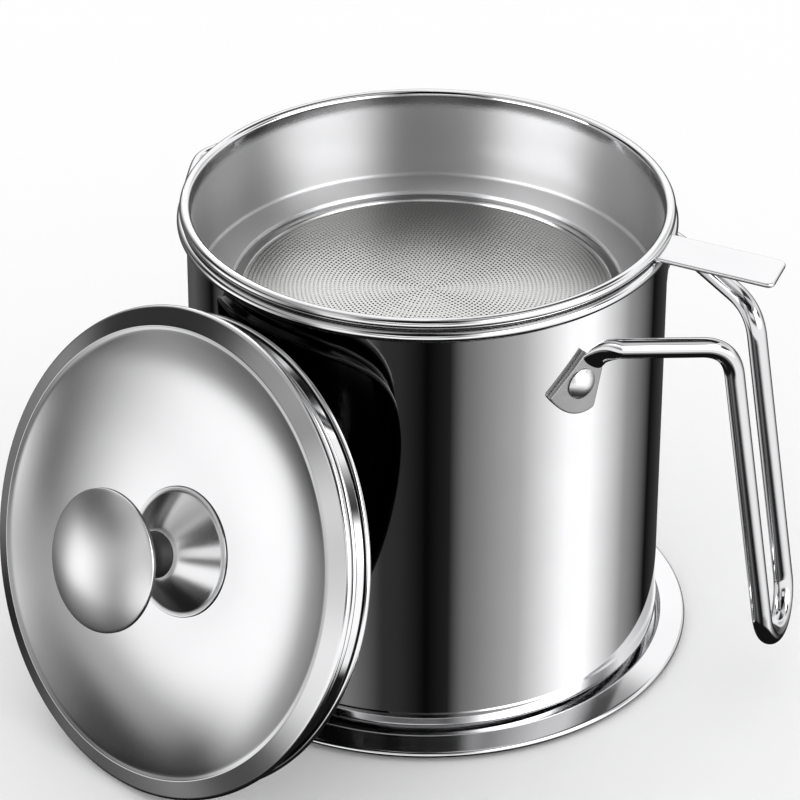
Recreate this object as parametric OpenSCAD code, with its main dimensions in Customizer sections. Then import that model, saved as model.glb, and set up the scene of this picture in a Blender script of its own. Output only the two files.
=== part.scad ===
// Bacon grease container in stainless steel: a pot with a riveted rod handle and a pouring spout
// stands in a drip tray, a strainer with a thumb tab hangs in its mouth, and the lid with its
// knob leans against the wall. Z = 0 is the table under the tray and the Z axis is the pot's axis.
// The handle points along +X.

/* [Pot] */
// Outside diameter of the wall
pot_d = 125; // [118:0.5:132]
// Height of the middle of the rolled rim above the table
pot_rim_z = 123.2; // [118:0.2:150]
// Thickness of the wall and floor
wall_t = 0.5; // [0.4:0.05:0.6]
// Outside radius of the rolled rim
rim_r = 1.5; // [1.3:0.05:1.5]

/* [Spout] */
// Direction of the spout, measured from the handle
spout_angle = 172; // [168:1:190]
// Height over which the spout grows out of the wall
spout_h = 19; // [15:0.5:22]
// Radius of the spout's curve where it leaves the wall
spout_start_r = 23.4; // [20:0.2:26]
// How much that radius grows up to the rim
spout_flare = 5.6; // [4:0.2:6]

/* [Base] */
// Height of the upper edge of the base cap above the table
cap_top_z = 9.4; // [8.8:0.1:11]
// Height of the corner where the cap turns under the pot
cap_turn_z = 6.2; // [5.4:0.1:6.6]
// Thickness of the cap
cap_t = 0.4; // [0.3:0.05:0.5]
// Thickness of the heat-spreading core
core_h = 4; // [3.6:0.1:4.4]

/* [Drip tray] */
// Diameter over the rolled edge
tray_d = 142; // [140:0.5:150]
// Height of the crest round the pot
tray_crest_z = 4; // [3.6:0.1:4.4]
// Gap between the base cap and the wall of the recess
tray_gap = 0.9; // [0.5:0.1:1.2]
// Thickness of the tray
tray_t = 0.7; // [0.5:0.1:0.8]

/* [Strainer] */
// Thickness of the basket
basket_t = 0.4; // [0.3:0.05:0.45]
// Outside radius of its rolled rim
basket_rim_r = 1.45; // [1.3:0.05:1.5]
// Depth from the middle of its rim to the ledge
basket_depth = 23.4; // [20:0.2:26]
// Draw-in of the wall from rim to ledge
basket_taper = 1; // [0.8:0.1:1.4]
// Radius of the round opening in the ledge
ledge_r = 51; // [46:0.5:52]
// Depth of the step from the ledge to the filter
ledge_step = 1.9; // [1.6:0.1:2.6]
// Thickness of the filter sheet
mesh_t = 0.3; // [0.2:0.05:0.4]

/* [Thumb tab] */
// Reach of the tab from the pot's axis
tab_reach = 94.4; // [85:0.2:98]
// Width of the tab
tab_w = 13.6; // [10:0.2:16]
// Thickness of the tab
tab_t = 1.2; // [1:0.1:1.2]
// Fall of the tab from root to tip
tab_drop = 2.1; // [1:0.1:3]

/* [Handle] */
// Diameter of the rod
rod_d = 5.2; // [4.6:0.1:5.4]
// Distance of the rod's upper bend from the pot's axis
bend_x = 85.5; // [80:0.5:88]
// Height of the upper bend
bend_z = 106.5; // [100:0.5:108]
// Spacing of the two rods of the grip, from centre to centre
rod_gap = 20.8; // [16:0.2:24]
// Lean of the grip away from the wall
grip_lean = 8.5; // [4:0.25:10]
// Height of the lowest point of the rod's axis
grip_low_z = 17.1; // [14:0.5:30]
// Direction of each rivet, measured from the handle
rivet_angle = 33; // [31:0.25:34]
// Height of the rivets
rivet_z = 102.8; // [99:0.2:104]
// Radius of the rivets' shanks
rivet_r = 2; // [1.6:0.1:2.2]

/* [Lid] */
// Outside diameter of the lid
lid_d = 125.8; // [125.4:0.2:128]
// Thickness of the lid and its skirt
lid_t = 0.6; // [0.5:0.05:0.7]
// Radius of the rolled edge
lid_edge_r = 1.2; // [1.1:0.05:1.3]
// Radius of the ridge between the sloping brim and the dish
ridge_r = 57.8; // [56:0.1:58]
// Height of the ridge above the middle of the rolled edge
ridge_h = 2.9; // [2.4:0.1:3.2]
// Depth of the dish below the ridge
dish_depth = 7.1; // [6:0.1:7.6]
// Largest radius of the skirt
skirt_r = 61; // [60.6:0.1:61]
// Distance of the skirt's end bead behind the middle of the rolled edge
skirt_h = 8.8; // [8:0.1:10]

/* [Knob] */
// Diameter of the flange of the knob's foot
foot_d = 33.6; // [30:0.2:35]
// Height of the foot
foot_h = 8.6; // [7:0.1:10]
// Diameter of the cap
cap_d = 36.4; // [34:0.2:40]
// Height of the cap's rim above the foot's flange
knob_h = 26.8; // [22:0.2:30]
// Rise of the cap's crown
crown_h = 4.6; // [3:0.1:6]
// Radius of the neck
neck_r = 6; // [5:0.1:7]

/* [Leaning lid] */
// Tilt of the lid's axis above the level
lean_tilt = 19.4; // [15:0.1:22]
// Direction of the lid from the pot, measured from the handle
lean_angle = -115.2; // [-130:0.2:-100]

/* [Hidden] */
$fn = 96;
steel = [0.80, 0.80, 0.81];
satin = [0.62, 0.62, 0.63];
alloy = [0.72, 0.73, 0.75];

// Fits and small details
air = 0.3;               // gap between curved faces of pieces that move apart
curl_end = -115;         // angle at which a rolled edge stops
curl_steps = 14;         // straight steps in a rolled edge
bend_steps = 5;          // straight steps in a pressed corner
over = 1;                // how far a cutter passes the face it cuts

// Pot
pot_r = pot_d / 2;
bore_r = pot_r - wall_t;
core_z = tray_t + cap_t;
floor_z = core_z + core_h;
floor_bend_r = 2.5;
bead_cut = 0.1;          // how much of a bead's inner side the bore trims off
spout_c = pot_r - wall_t / 2 - spout_start_r;
spout_low_z = pot_rim_z - spout_h;
spout_end_r = spout_start_r + spout_flare;

// Base cap
cap_r = pot_r + cap_t;
cap_foot_r = cap_r - 4;
cap_bend_r = 1.2;
core_r = cap_foot_r - 0.9;

// Tray
recess_r = cap_r + tray_gap;
tray_edge_r = 0.9;
tray_edge_c = [tray_d / 2 - tray_edge_r, 2];
tray_bend_r = 1;
crest_bend_r = 0.9;

// Strainer
basket_r = bore_r - air - basket_t;
basket_rim_z = pot_rim_z + rim_r + basket_rim_r + 0.35;
basket_rim_c = basket_r + basket_rim_r;
ledge_z = basket_rim_z - basket_depth;
filter_z = ledge_z - ledge_step;
hem_w = 2.2;
ring_t = 0.5;

// Thumb tab
tab_root_z = basket_rim_z - 0.3;
tab_corner_r = 2;
tab_tilt = atan(tab_drop / (tab_reach - basket_rim_c));

// Handle
rod_r = rod_d / 2;
lug_t = 1.5;
lug_wall_gap = 0.05;
// Outline of the lug in mm from its rivet: towards the grip, up
lug_neck = [[7, 1.9], [1.2, 8.6]];
lug_end = [[-9.4, -1.7], [-3.4, -10.6], [4.4, -8.4]];
root_start = [2.9, 4];               // where the rod's flat end lies in the lug
root_bend = [6.3, 8.4];              // where the rod turns away from the wall
root_w = 8.8;
root_bend_len = 3.6;
upper_bend_len = 8;
grip_x = bend_x + (bend_z - grip_low_z - rod_gap / 2) * tan(grip_lean);
rivet_clear = 0.05;
rivet_head_r = 4.1;
rivet_rim_h = 0.3;
rivet_head_h = 1.7;
rivet_tail_r = 3.2;
rivet_tail_h = 0.6;
rivet_tail_gap = 0.15;

// Lid, in its own frame: Z along its axis, 0 at the middle of the rolled edge
edge_c = lid_d / 2 - lid_edge_r;
dish_z = ridge_h - dish_depth;
flat_r = foot_d / 2 + 1.2;
dish_w = ridge_r - 1.2 - flat_r;
dish_power = 2.4;
dish_steps = 16;
ridge_bend_r = 1.6;
skirt_edge_r = 0.9;
skirt_wall_r = skirt_r - skirt_edge_r;
skirt_bead_h = 0.7;

// Knob, in the lid's frame
screw_r = 2;
hole_r = 2.5;
foot_t = 0.8;
foot_z = dish_z;
foot_top_z = foot_z + foot_h;
cap_rim_z = foot_z + foot_t + knob_h;
cap_sheet_t = 0.8;
thread_clear = 0.05;
washer_r = 7;
washer_t = 0.8;
head_r = 4.4;
head_h = 2.2;

// Place of the leaning lid: both edges stand on the table and the skirt nearly meets the wall
lean_gap = 0.3;
lean_r = pot_r + lean_gap + skirt_h * cos(lean_tilt) + skirt_wall_r * sin(lean_tilt) + skirt_edge_r;
lean_z = 0.1 + max(edge_c * cos(lean_tilt) + lid_edge_r,
    skirt_h * sin(lean_tilt) + skirt_wall_r * cos(lean_tilt) + skirt_edge_r);

// ---- helpers ----

// Points of an arc about c, from angle a0 to angle a1
function arc(c, r, a0, a1, n) =
    [for (i = [0 : n]) let (a = a0 + (a1 - a0) * i / n) c + r * [cos(a), sin(a)]];

// Unit normal on the left of a path's step i
function step_normal(p, i) = let (d = (p[i + 1] - p[i]) / norm(p[i + 1] - p[i])) [-d[1], d[0]];

// Vector at point i that moves both steps beside it by one to the left
function left_of(p, i) =
    let (a = step_normal(p, max(i - 1, 0)), b = step_normal(p, min(i, len(p) - 2))) (a + b) / (1 + a * b);

// Outline of a sheet that lies on the right of a path of points
function sheet(p, t) = concat(p, [for (i = [len(p) - 1 : -1 : 0]) p[i] - t * left_of(p, i)]);

// Rolled edge that turns outwards from an inner face at radius r, with its middle at height z
function rolled(r, z, curl_r) = arc([r + curl_r, z], curl_r, 180, curl_end, curl_steps);

// Cylinder pressed out of a round wall: direction from the handle, height and distance from the axis
module on_wall(angle, z, from_r) {
    rotate([0, 0, angle])
        translate([from_r, 0, z])
            rotate([0, 90, 0])
                children();
}

// The lid's own frame, put where the lid leans
module leaning() {
    rotate([0, 0, lean_angle])
        translate([lean_r, 0, lean_z])
            rotate([0, 90 - lean_tilt, 0])
                children();
}

// ---- drip tray ----

module drip_tray() {
    path = concat(
        [[0, tray_t]],
        arc([recess_r - tray_bend_r, tray_t + tray_bend_r], tray_bend_r, -90, 0, bend_steps),
        arc([recess_r + crest_bend_r, tray_crest_z - crest_bend_r], crest_bend_r, 180, 100, bend_steps),
        arc(tray_edge_c, tray_edge_r, 80, -100, curl_steps));
    color(steel)
        rotate_extrude()
            polygon(sheet(path, tray_t));
}

// ---- pot ----

module base_cap() {
    path = concat(
        [[0, core_z], [cap_foot_r - cap_t, core_z]],
        arc([pot_r - cap_bend_r, cap_turn_z + 0.2], cap_bend_r, -45, 0, bend_steps),
        [[pot_r, cap_top_z]]);
    color(steel)
        rotate_extrude()
            polygon(sheet(path, cap_t));
}

module base_core() {
    color(alloy)
        translate([0, 0, core_z])
            cylinder(r = core_r, h = core_h);
}

// Solid of the pot and spout up to the middle of the rim, moved inwards by inset, then straight up by rise
module filled(inset, rise) {
    round_r = floor_bend_r - inset;
    outline = concat(
        [[0, floor_z + inset]],
        arc([pot_r - floor_bend_r, floor_z + floor_bend_r], round_r, -90, 0, bend_steps),
        [[pot_r - inset, pot_rim_z + rise], [0, pot_rim_z + rise]]);
    rotate_extrude()
        polygon(outline);
    rotate([0, 0, spout_angle])
        translate([spout_c, 0, spout_low_z])
            cylinder(r1 = spout_start_r - inset, r2 = spout_end_r - inset, h = spout_h);
    if (rise > 0)
        rotate([0, 0, spout_angle])
            translate([spout_c, 0, pot_rim_z])
                cylinder(r = spout_end_r - inset, h = rise);
}

// Rolled rim as a solid bead round a circle whose inner face has radius r
module bead(r) {
    translate([0, 0, pot_rim_z])
        rotate_extrude()
            translate([r + rim_r - bead_cut, 0])
                circle(r = rim_r, $fn = 32);
}

// Edge band of the spout round a circle whose inner face has radius r
module spout_band(r) {
    outer = r + 2 * rim_r - bead_cut;
    fall = rim_r / 2;
    translate([0, 0, pot_rim_z])
        rotate_extrude()
            polygon([[r - bead_cut, -rim_r], [outer - fall, -rim_r], [outer, -fall],
                [outer, fall], [outer - fall, rim_r], [r - bead_cut, rim_r]]);
}

module pot_body() {
    color(steel)
        difference() {
            union() {
                filled(0, 0);
                bead(bore_r);
                rotate([0, 0, spout_angle])
                    translate([spout_c, 0, 0])
                        spout_band(spout_end_r - wall_t);
            }
            filled(wall_t, 2 * rim_r);
            for (side = [-1, 1])
                on_wall(side * rivet_angle, rivet_z, pot_r - 4 * wall_t)
                    cylinder(r = rivet_r + rivet_clear, h = 8 * wall_t);
        }
}

// ---- handle ----

// Point of the front lug's surroundings at radius r, from mm towards the grip and up from its rivet
function by_lug(r, spot) =
    let (a = spot[0] / pot_r * 180 / PI - rivet_angle) [r * cos(a), r * sin(a), rivet_z + spot[1]];

function unit(v) = v / norm(v);

// Curve that rounds the corner at p between a and b, starting and ending d away from p
function corner(a, p, b, d, n) =
    let (s = p + d * unit(a - p), e = p + d * unit(b - p))
    [for (i = [0 : n]) let (u = i / n) (1 - u) * (1 - u) * s + 2 * u * (1 - u) * p + u * u * e];

root_corner = by_lug(pot_r + rod_r + 0.5, root_bend);
upper_corner = [bend_x, -rod_gap / 2, bend_z];
grip_start = [grip_x, -rod_gap / 2, grip_low_z + rod_gap / 2];
root_r = pot_r + lug_wall_gap + lug_t / 2;
root_rings = 10;
root_t = 0.9 * lug_t;

// Centre line of the front half of the rod: flat end, root bend, run, upper bend, grip, half of the turn
root_line = concat(
    [by_lug(root_r, root_start)],
    corner(by_lug(root_r, root_start), root_corner, upper_corner, root_bend_len, root_rings - 1));
front_line = concat(
    root_line,
    corner(root_corner, upper_corner, grip_start, upper_bend_len, 8),
    [for (i = [0 : 8]) let (a = 90 * i / 8, down = rod_gap / 2 * sin(a))
        grip_start + [down * tan(grip_lean), rod_gap / 2 * (1 - cos(a)), -down]]);

// Width and thickness of the rod's section at ring i: a flat end that turns into a round rod
function section(i) =
    let (u = min(i / root_rings, 1)) [root_w + (rod_d - root_w) * u, root_t + (rod_d - root_t) * pow(u, 1.2)];

half = len(front_line);
rod_line = concat(front_line, [for (i = [half - 2 : -1 : 0]) let (p = front_line[i]) [p[0], -p[1], p[2]]]);
rod_sides = 20;

// One ring of the rod's surface, square to its line, with its thin side turned to the pot's axis
function rod_ring(k) =
    let (n = len(rod_line), i = k < half ? k : n - 1 - k, p = rod_line[k],
        t = unit(rod_line[min(k + 1, n - 1)] - rod_line[max(k - 1, 0)]),
        out = unit([p[0], p[1], 0]), thin = unit(out - (out * t) * t), wide = cross(t, thin), s = section(i))
    [for (j = [0 : rod_sides - 1]) let (a = 360 * j / rod_sides)
        p + thin * cos(a) * s[1] / 2 + wide * sin(a) * s[0] / 2];

module rod_skin() {
    n = len(rod_line);
    points = [for (k = [0 : n - 1]) each rod_ring(k)];
    walls = [for (k = [0 : n - 2]) for (j = [0 : rod_sides - 1])
        let (a = k * rod_sides + j, b = k * rod_sides + (j + 1) % rod_sides)
        each [[a, b + rod_sides, b], [a, a + rod_sides, b + rod_sides]]];
    ends = [[for (j = [0 : rod_sides - 1]) j], [for (j = [rod_sides - 1 : -1 : 0]) (n - 1) * rod_sides + j]];
    polyhedron(points, concat(walls, ends));
}

// Flat lugs, bent to the wall
module lugs() {
    low = [for (i = [0 : 8]) let (u = i / 8)
        (1 - u) * (1 - u) * lug_end[0] + 2 * u * (1 - u) * lug_end[1] + u * u * lug_end[2]];
    intersection() {
        for (side = [-1, 1])
            on_wall(side * rivet_angle, rivet_z, pot_r - 3)
                linear_extrude(height = 8)
                    polygon([for (p = concat(low, lug_neck)) [-p[1], -side * p[0]]]);
        difference() {
            cylinder(r = pot_r + lug_wall_gap + lug_t, h = pot_rim_z);
            translate([0, 0, -over])
                cylinder(r = pot_r + lug_wall_gap, h = pot_rim_z + 2 * over);
        }
    }
}

module handle_rod() {
    color(steel)
        difference() {
            union() {
                rod_skin();
                lugs();
            }
            for (side = [-1, 1])
                on_wall(side * rivet_angle, rivet_z, pot_r - over)
                    cylinder(r = rivet_r + rivet_clear, h = 3 * lug_t);
        }
}

module handle_rivets() {
    crown_r = (rivet_head_r * rivet_head_r + rivet_head_h * rivet_head_h) / (2 * rivet_head_h);
    head_at = lug_wall_gap + lug_t + 0.05;
    shank_h = wall_t + rivet_tail_gap + rivet_tail_h / 2 + head_at + rivet_rim_h / 2;
    color(steel)
        for (side = [-1, 1])
            on_wall(side * rivet_angle, rivet_z, pot_r) {
                translate([0, 0, -wall_t - rivet_tail_gap - rivet_tail_h])
                    cylinder(r = rivet_tail_r, h = rivet_tail_h);
                translate([0, 0, -wall_t - rivet_tail_gap - rivet_tail_h / 2])
                    cylinder(r = rivet_r, h = shank_h);
                translate([0, 0, head_at])
                    cylinder(r = rivet_head_r, h = rivet_rim_h);
                translate([0, 0, head_at + rivet_rim_h])
                    intersection() {
                        translate([0, 0, rivet_head_h - crown_r])
                            sphere(r = crown_r);
                        cylinder(r = rivet_head_r + over, h = 2 * rivet_head_h);
                    }
            }
}

// ---- strainer ----

module strainer_basket() {
    low_r = basket_r - basket_taper;
    path = concat(
        [[ledge_r - hem_w, filter_z]],
        arc([ledge_r - 0.5, filter_z + 0.5], 0.5, -90, 0, bend_steps),
        arc([ledge_r + 0.5, ledge_z - 0.5], 0.5, 180, 90, bend_steps),
        arc([low_r - 1, ledge_z + 1], 1, -90, 0, bend_steps),
        rolled(basket_r, basket_rim_z, basket_rim_r));
    color(steel)
        rotate_extrude()
            polygon(sheet(path, basket_t));
}

module strainer_mesh() {
    color(satin)
        translate([0, 0, filter_z])
            cylinder(r = ledge_r - 0.6, h = mesh_t);
}

module mesh_ring() {
    color(steel)
        translate([0, 0, filter_z + mesh_t])
            rotate_extrude()
                translate([ledge_r - hem_w, 0])
                    square([hem_w - 0.1, ring_t]);
}

module strainer_tab() {
    long = tab_reach - basket_rim_c;
    color(steel)
        difference() {
            translate([basket_rim_c, 0, tab_root_z - tab_t])
                rotate([0, tab_tilt, 0])
                    linear_extrude(height = tab_t)
                        union() {
                            translate([0, -tab_w / 2])
                                square([long - tab_corner_r, tab_w]);
                            translate([0, tab_corner_r - tab_w / 2])
                                square([long, tab_w - 2 * tab_corner_r]);
                            for (side = [-1, 1])
                                translate([long - tab_corner_r, side * (tab_w / 2 - tab_corner_r)])
                                    circle(r = tab_corner_r);
                        }
            translate([0, 0, basket_rim_z])
                rotate_extrude()
                    translate([basket_rim_c, 0])
                        circle(r = basket_rim_r);
            translate([0, 0, basket_rim_z - 2 * basket_rim_r])
                cylinder(r = basket_rim_c + 0.9, h = 3 * basket_rim_r);
        }
}

// ---- lid ----

// Height of the dish's upper face, u going from 0 at the flat to 1 below the ridge
function dish(u) = dish_z + (dish_depth - 0.35) * pow(u, dish_power);

module lid_shell() {
    path = concat(
        [[hole_r, dish_z], [flat_r, dish_z]],
        [for (i = [1 : dish_steps]) let (u = i / dish_steps) [flat_r + dish_w * u, dish(u)]],
        [[ridge_r - 0.4, ridge_h - 0.06], [ridge_r, ridge_h]],
        arc([edge_c, 0], lid_edge_r, 67, curl_end, curl_steps));
    color(steel)
        leaning()
            rotate_extrude()
                polygon(sheet(path, lid_t));
}

module lid_skirt() {
    top = ridge_h - lid_t - 1.05;
    path = concat(
        [[skirt_wall_r - lid_t, top]],
        arc([skirt_wall_r - lid_t, -skirt_h / 2], skirt_bead_h + 0.2, 90, -90, 8),
        arc([skirt_wall_r, -skirt_h], skirt_edge_r, 100, -180, curl_steps));
    color(steel)
        leaning()
            rotate_extrude()
                polygon(sheet(path, lid_t));
}

module knob_foot() {
    bell_top_r = neck_r + 0.4;
    bell_w = foot_d / 2 - 1.6 - bell_top_r;
    path = concat(
        [[foot_d / 2, foot_z + foot_t], [foot_d / 2 - 1.2, foot_z + foot_t]],
        [for (i = [0 : 8]) let (u = i / 8)
            [bell_top_r + bell_w * pow(1 - u, 0.85), foot_z + foot_t + 0.3 + (foot_h - 2) * u]]);
    color(satin)
        leaning()
            rotate_extrude()
                polygon(concat(path, [[neck_r - 0.6, foot_top_z - 0.7], [neck_r - 0.6, foot_top_z],
                    [hole_r, foot_top_z], [hole_r, foot_z], [foot_d / 2, foot_z]]));
}

module knob_stem() {
    flare_z = cap_rim_z - cap_sheet_t - 1.2;
    flare_r = cap_d / 2 - 2;
    rise_z = foot_top_z + 3;
    path = concat(
        [[screw_r + thread_clear, foot_top_z], [neck_r, foot_top_z]],
        [for (i = [0 : 8]) let (u = i / 8)
            [neck_r + (flare_r - neck_r) * pow(u, 2.2), rise_z + (flare_z - rise_z) * u]],
        [[flare_r, flare_z + 0.8], [0, flare_z + 0.8], [0, flare_z - 1],
            [screw_r + thread_clear, flare_z - 1]]);
    color(steel)
        leaning()
            rotate_extrude()
                polygon(path);
}

module knob_cap() {
    ball_r = (pow(cap_d / 2, 2) + crown_h * crown_h) / (2 * crown_h);
    color(steel)
        leaning()
            translate([0, 0, cap_rim_z]) {
                difference() {
                    intersection() {
                        translate([0, 0, crown_h - ball_r])
                            sphere(r = ball_r);
                        translate([0, 0, -over])
                            cylinder(r = cap_d / 2 + over, h = crown_h + 2 * over);
                    }
                    translate([0, 0, crown_h - ball_r])
                        sphere(r = ball_r - cap_sheet_t);
                    translate([0, 0, -2 * over])
                        cylinder(r = cap_d / 2 + 2 * over, h = 2 * over);
                }
                translate([0, 0, -cap_sheet_t - 0.4])
                    difference() {
                        cylinder(r = cap_d / 2, h = cap_sheet_t + 0.4);
                        translate([0, 0, -over])
                            cylinder(r = cap_d / 2 - 1.4, h = cap_sheet_t + over + 1.4);
                    }
            }
}

module knob_screw() {
    reach = cap_rim_z - 6;
    under = dish_z - lid_t - washer_t;
    color(steel)
        leaning() {
            translate([0, 0, under - head_h])
                difference() {
                    cylinder(r = head_r, h = head_h);
                    for (turn = [0, 90])
                        rotate([0, 0, turn])
                            translate([-0.5, -2.4, -over])
                                cube([1, 4.8, over + 1.2]);
                }
            translate([0, 0, under - 0.1])
                cylinder(r = screw_r, h = reach - under);
        }
}

module knob_washer() {
    color(steel)
        leaning()
            translate([0, 0, dish_z - lid_t - washer_t])
                difference() {
                    cylinder(r = washer_r, h = washer_t);
                    translate([0, 0, -over])
                        cylinder(r = screw_r + 0.2, h = washer_t + 2 * over);
                }
}

drip_tray();
base_cap();
base_core();
pot_body();
handle_rod();
handle_rivets();
strainer_basket();
strainer_mesh();
mesh_ring();
strainer_tab();
lid_shell();
lid_skirt();
knob_foot();
knob_stem();
knob_cap();
knob_screw();
knob_washer();
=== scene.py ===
"""Looks of a polished steel grease container: a pot with a spout and a rod handle on a drip tray,
a strainer with a thumb tab, and a knobbed lid that leans against the wall.

Sizes are in mm, as in the solids. The meshes are made in metres."""
import math

import bpy
import numpy as np
from mathutils import Matrix


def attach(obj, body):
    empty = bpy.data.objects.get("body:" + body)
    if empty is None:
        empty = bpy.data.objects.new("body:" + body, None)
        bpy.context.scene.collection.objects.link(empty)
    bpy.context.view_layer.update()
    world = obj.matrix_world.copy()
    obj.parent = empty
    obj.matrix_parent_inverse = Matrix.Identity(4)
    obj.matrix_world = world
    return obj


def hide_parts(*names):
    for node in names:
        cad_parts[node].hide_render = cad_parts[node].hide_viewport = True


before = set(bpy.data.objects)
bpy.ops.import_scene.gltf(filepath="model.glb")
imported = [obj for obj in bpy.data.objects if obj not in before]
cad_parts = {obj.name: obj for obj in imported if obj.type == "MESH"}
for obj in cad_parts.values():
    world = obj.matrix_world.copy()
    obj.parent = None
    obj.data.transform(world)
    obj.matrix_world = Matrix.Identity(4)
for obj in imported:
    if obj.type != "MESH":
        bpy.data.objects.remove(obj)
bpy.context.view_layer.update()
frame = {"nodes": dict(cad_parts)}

MM = 0.001

# ---------------------------------------------------------------- sizes in mm, as in the solids
# Rolled edges: where the curl ends in degrees, and its number of steps
CURL_END, CURL_STEPS = -115, 36

# Pot
POT_R, WALL_T = 62.5, 0.5
BORE_R = POT_R - WALL_T
RIM_Z, RIM_R, BEAD_CUT = 123.2, 1.5, 0.1
RIM_C = BORE_R + RIM_R - BEAD_CUT
FLOOR_BEND_R = 2.5

# Spout: direction, height, reach in front of the wall, and width in radians of its rounded nose
SPOUT_AT, SPOUT_H, SPOUT_OUT, SPOUT_NOSE = math.radians(172), 19.0, 4.9, 0.05

# Drip tray
TRAY_T, TRAY_GAP, TRAY_BEND_R = 0.7, 0.9, 1
CREST_Z, CREST_BEND_R = 4, 0.9
TRAY_EDGE_R, TRAY_EDGE_C = 0.9, (70.1, 2)

# Base
CAP_T, CORE_H = 0.4, 4.0
CORE_Z = TRAY_T + CAP_T
FLOOR_Z = CORE_Z + CORE_H
CAP_FOOT_R, CAP_BEND_R, CAP_BEND_Z, CAP_TOP_Z = 58.5, 1.2, 6.4, 9.4

# Strainer
BASKET_T, BASKET_RIM_R, BASKET_TAPER = 0.4, 1.45, 1
BASKET_R = BORE_R - 0.3 - BASKET_T
BASKET_RIM_C = BASKET_R + BASKET_RIM_R
BASKET_Z = RIM_Z + RIM_R + BASKET_RIM_R + 0.35
LEDGE_R, LEDGE_Z = 51.0, BASKET_Z - 23.4
FILTER_Z, HEM_W = LEDGE_Z - 1.9, 2.2
# Rings of holes in the filter: their pitch, a hole's radius as a share of it, and where they end
HOLE_PITCH, HOLE_SHARE, HOLES_R = 1.1, 0.3, LEDGE_R - 3.2

# Thumb tab
TAB_REACH, TAB_W, TAB_T, TAB_DROP, TAB_CORNER_R, TAB_EDGE_R = 94.4, 13.6, 1.2, 2.1, 2.0, 0.35

# Handle
ROD_R, ROD_GAP, GRIP_LEAN, LOW_Z = 2.6, 20.8, math.radians(8.5), 17.1
BEND_X, BEND_Z = 85.5, 106.5
ROOT_BEND_LEN, UPPER_BEND_LEN = 3.6, 8
RIVET_AT, RIVET_Z = math.radians(33), 102.8
LUG_T, LUG_GAP, LUG_EDGE_R = 1.5, 0.05, 0.3
ROOT_W, ROOT_T = 8.8, 0.9 * LUG_T
# Outline of the lug in mm from its rivet: towards the grip, up
LUG_NECK = np.array([[7, 1.9], [1.2, 8.6]])
LUG_END = np.array([[-9.4, -1.7], [-3.4, -10.6], [4.4, -8.4]])
ROOT_START, ROOT_BEND = (2.9, 4.0), (6.3, 8.4)

# Rivets
RIVET_R, RIVET_CLEAR = 2, 0.05
HEAD_R, HEAD_RIM_H, HEAD_H = 4.1, 0.3, 1.7
TAIL_R, TAIL_H, TAIL_GAP = 3.2, 0.6, 0.15

# Lid, in its own frame: Z along its axis, 0 at the middle of the rolled edge
LID_T, EDGE_C, EDGE_R = 0.6, 61.7, 1.2
RIDGE_R, RIDGE_H = 57.8, 2.9
DISH_Z, DISH_RISE, DISH_POWER = RIDGE_H - 7.1, 6.75, 2.4
SKIRT_R, SKIRT_H, SKIRT_EDGE_R = 60.1, 8.8, 0.9
LEAN, LEAN_AT, LEAN_GAP, FLOOR_GAP = math.radians(19.4), math.radians(-115.2), 0.3, 0.1

# Knob, in the lid's frame
SCREW_R, HOLE_R, THREAD_CLEAR = 2, 2.5, 0.05
FOOT_R, FOOT_T, FOOT_H, FOOT_ROUND = 16.8, 0.8, 8.6, 0.25
CAP_R, KNOB_H, CROWN_H, CAP_SHEET_T, CAP_ROUND = 18.2, 26.8, 4.6, 0.8, 0.35
NECK_R = 6.0
FLAT_R = FOOT_R + 1.2
FOOT_TOP_Z = DISH_Z + FOOT_H
CAP_Z = DISH_Z + FOOT_T + KNOB_H
FLARE_Z = CAP_Z - 2.0


# ---------------------------------------------------------------- outlines and meshes
def arc(c, r, a0, a1, n):
    """Points of an arc about c from angle a0 to angle a1 in degrees."""
    a = np.radians(np.linspace(a0, a1, n + 1))
    return np.stack([c[0] + r * np.cos(a), c[1] + r * np.sin(a)], 1)


def rolled(r, z, curl_r, start=180):
    """Rolled edge that turns outwards, with its middle at radius r and height z."""
    return arc((r, z), curl_r, start, CURL_END, CURL_STEPS)


def unit(v):
    """Vectors along the last axis, each brought to length 1."""
    return v / np.linalg.norm(v, axis=-1, keepdims=True)


def dense(path, longest=6.0, guard=0.25):
    """A path with extra points: close to both ends of each long step, and every few mm on it."""
    path = np.asarray(path, float)
    out = [path[:1]]
    for a, b in zip(path[:-1], path[1:]):
        size = np.linalg.norm(b - a)
        if size > 4 * guard:
            inner = np.linspace(guard, size - guard, max(2, int(size / longest) + 2))
            out.append(a + (b - a) * (inner / size)[:, None])
        out.append(b[None])
    return np.concatenate(out)


def left_of(path, closed=False):
    """At each point, the vector that moves both steps beside it by one to the left."""
    step = np.roll(path, -1, 0) - path
    if not closed:
        step[-1] = step[-2]
    step = unit(step)
    after = np.stack([-step[:, 1], step[:, 0]], 1)
    before = np.roll(after, 1, 0)
    if not closed:
        before[0] = after[0]
    return (before + after) / (1 + (before * after).sum(1))[:, None]


def sheet(path, t):
    """Closed outline of a sheet: the path, then the path moved by t to its right, backwards."""
    path = dense(path)
    return np.concatenate([path, (path - t * left_of(path))[::-1]])


def bent(start, middle, end, t):
    """Points of the curve (1 - t)^2 start + 2 t (1 - t) middle + t^2 end."""
    t = t[:, None]
    return (1 - t) ** 2 * start + 2 * t * (1 - t) * middle + t * t * end


def corner(a, p, b, d, n):
    """Curve that rounds the corner at p between a and b, from d before p to d after it."""
    return bent(p + d * unit(a - p), p, p + d * unit(b - p), np.linspace(0, 1, n + 1))


def circle(n):
    """n angles in radians, evenly spaced all the way round."""
    return np.arange(n) * 2 * np.pi / n


def on_axis(outline):
    """Which points of an outline lie on the axis that it turns about."""
    return outline[:, 0] < 1e-6


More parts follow.
